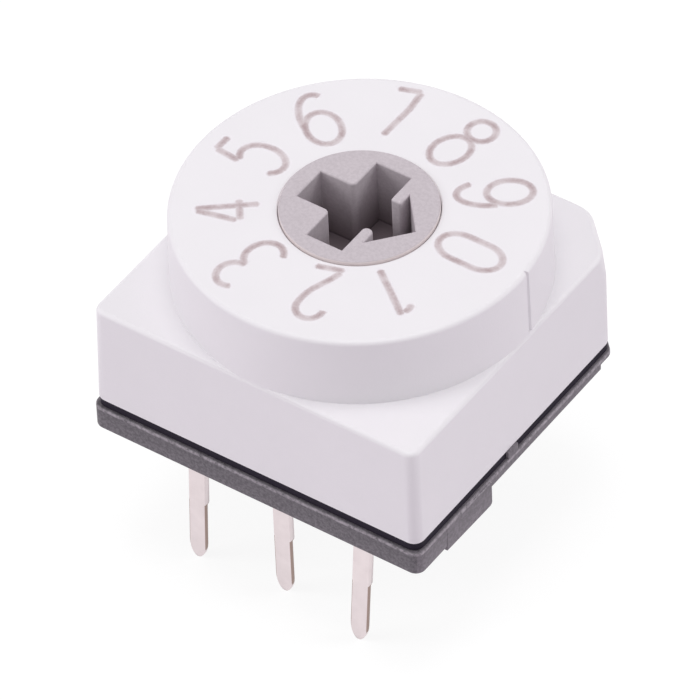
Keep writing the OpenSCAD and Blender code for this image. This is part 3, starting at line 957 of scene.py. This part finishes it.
def pen_points(stroke):
    """The stroke's points with the pen's weight: an open stroke starts and ends lightly."""
    points = [Vector(point) for point in stroke]
    if (points[0] - points[-1]).length < NEAR:
        return [(point, 1.0) for point in points[:-1]]
    # The pen has its full weight after pen_taper, or just short of the next point
    near = [end.lerp(beside, min(0.9, pen_taper / (beside - end).length))
            for end, beside in ((points[0], points[1]), (points[-1], points[-2]))]
    inner = [(point, 1.0) for point in (near[0], *points[1:-1], near[1])]
    return [(points[0], pen_lightest), *inner, (points[-1], pen_lightest)]


def number(value, nib):
    """One dial number: strokes of the nib's flat oval section, half sunk into the dial."""
    clear_selection()
    curve = bpy.data.curves.new(f"number_{value}", "CURVE")
    curve.dimensions = "3D"
    curve.resolution_u = 6
    curve.bevel_mode = "OBJECT"
    curve.bevel_object = nib
    curve.use_fill_caps = True
    for stroke in number_strokes[value]:
        weighted = pen_points(stroke)
        spline = curve.splines.new("POLY")
        spline.points.add(len(weighted) - 1)
        # Only a closed stroke starts with the pen's full weight
        spline.use_cyclic_u = weighted[0][1] == 1
        for point, (place, weight) in zip(spline.points, weighted):
            point.co = (place.y, -place.x, 0, 1)
            point.radius = weight
    piece = bpy.data.objects.new(f"number_{value}", curve)
    bpy.context.collection.objects.link(piece)
    hold(piece)
    bpy.ops.object.convert(target="MESH")
    piece.data.transform(Matrix.Translation((0, 0, dial_z)))
    turn(piece, -360 / positions * value)
    settle(piece, "case", "white_plastic")
    piece.data.materials[0] = finishes["number_print"]


def pen_nib():
    """Flat oval section of the number strokes."""
    clear_selection()
    bpy.ops.curve.primitive_bezier_circle_add(radius=1)
    section = bpy.context.object
    section.name = "nib"
    section.scale = (stroke_w / 2, print_h, 1)
    bpy.ops.object.transform_apply(location=False, rotation=False, scale=True)
    section.data.resolution_u = 3
    return section


# Studio

def camera():
    """Camera at the photograph's angle, framed on the middle of the deck."""
    azimuth, elevation, roll = (math.radians(a) for a in (36.34, 44.586, -2.607))
    distance, shift_right, shift_up = 229.654, -0.301, -2.054
    lens_px, frame_px, sensor = 9216.6, 700, 36.0
    back = Vector((math.sin(azimuth) * math.cos(elevation),
                   -math.cos(azimuth) * math.cos(elevation), math.sin(elevation)))
    level = Vector((math.cos(azimuth), math.sin(azimuth), 0))
    rise = back.cross(level)
    right = math.cos(roll) * level + math.sin(roll) * rise
    up = math.cos(roll) * rise - math.sin(roll) * level
    data = bpy.data.cameras.new("camera")
    data.sensor_width = sensor
    data.lens = lens_px / frame_px * sensor
    data.clip_start = 0.01
    data.clip_end = 10
    made = bpy.data.objects.new("camera", data)
    bpy.context.scene.collection.objects.link(made)
    centre = Vector((0, 0, deck_z)) + back * distance + right * shift_right + up * shift_up
    made.matrix_world = Matrix.Translation(centre * MM) @ Matrix(
        (right, up, back)).transposed().to_4x4()
    bpy.context.scene.camera = made


def floor():
    """Pale floor under the pins' tips that fades to white and keeps the soft shadow."""
    clear_selection()
    bpy.ops.mesh.primitive_plane_add(size=2, location=(0, 0, pin_z * MM))
    made = bpy.context.object
    made.name = "floor"
    finish = Finish("floor", Roughness=0.9)
    seen = finish.seen_ray()
    made.data.materials.append(finish.paint(
        Base_Color=finish.mix(seen, tone(222, 212, 222), tone(118, 118, 118)),
        Emission_Color=finish.mix(seen, (0, 0, 0, 1), (1, 1, 1, 1)),
        Emission_Strength=0.85))


def world():
    """Even pale surroundings, white where they are seen."""
    made = bpy.data.worlds.new("surroundings")
    bpy.context.scene.world = made
    nodes = Nodes(made)
    light = nodes.node("ShaderNodeBackground", sockets={"Color": (1, 0.99, 1, 1), "Strength": 0.6})
    white = nodes.node("ShaderNodeBackground", sockets={"Color": (1, 1, 1, 1), "Strength": 1.0})
    seen = nodes.out(nodes.node("ShaderNodeLightPath"), "Is Camera Ray")
    blend = nodes.node("ShaderNodeMixShader", sockets={
        "Fac": seen, "Shader": nodes.out(light, "Background"),
        "Shader_001": nodes.out(white, "Background")})
    nodes.node("ShaderNodeOutputWorld", sockets={"Surface": nodes.out(blend, "Shader")})


def lamp(name, place, size, power):
    """Square soft lamp that looks at the switch."""
    data = bpy.data.lights.new(name, "AREA")
    data.size = size
    data.energy = power
    made = bpy.data.objects.new(name, data)
    bpy.context.scene.collection.objects.link(made)
    made.location = place
    made.rotation_euler = (-Vector(place)).to_track_quat("-Z", "Y").to_euler()


finishes = {
    "white_plastic": white_plastic(),
    "number_print": number_print(),
    "grey_plastic": grey_plastic(),
    "dark_plastic": dark_plastic(),
    "black_rubber": black_rubber(),
    "tinned_strip": tinned_strip(),
    "gold_plate": plated("gold_plate", tone(232, 196, 120), tone(214, 172, 96), 0.22),
    "spring_steel": plated("spring_steel", tone(200, 200, 202), tone(176, 176, 180), 0.25),
    "epoxy": epoxy(),
}

clear_selection()
bpy.context.scene.view_settings.view_transform = "Standard"
camera()
world()
floor()
lamp("left", (-0.24, -0.18, 0.16), 0.15, 0.3)
lamp("right", (0.24, 0.18, 0.16), 0.15, 0.225)
lamp("top", (0, 0, 0.33), 0.15, 0.32)

housing()
rotor()
strips = {name: terminal(name, code) for name, code in codes.items()}
strips["terminal_common"] = common_terminal()
base(strips.values())
for name, strip in strips.items():
    settle(strip, "case", "tinned_strip", name)
nib = pen_nib()
for digit in range(positions):
    number(digit, nib)
bpy.data.objects.remove(nib, do_unlink=True)

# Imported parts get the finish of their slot, which shows on those that no new piece replaces
for part in frame["record"]["subparts"]:
    shown = frame["nodes"][part["node"]]
    shown.data.materials.clear()
    shown.data.materials.append(finishes[part["material_slot"]])

clear_selection()
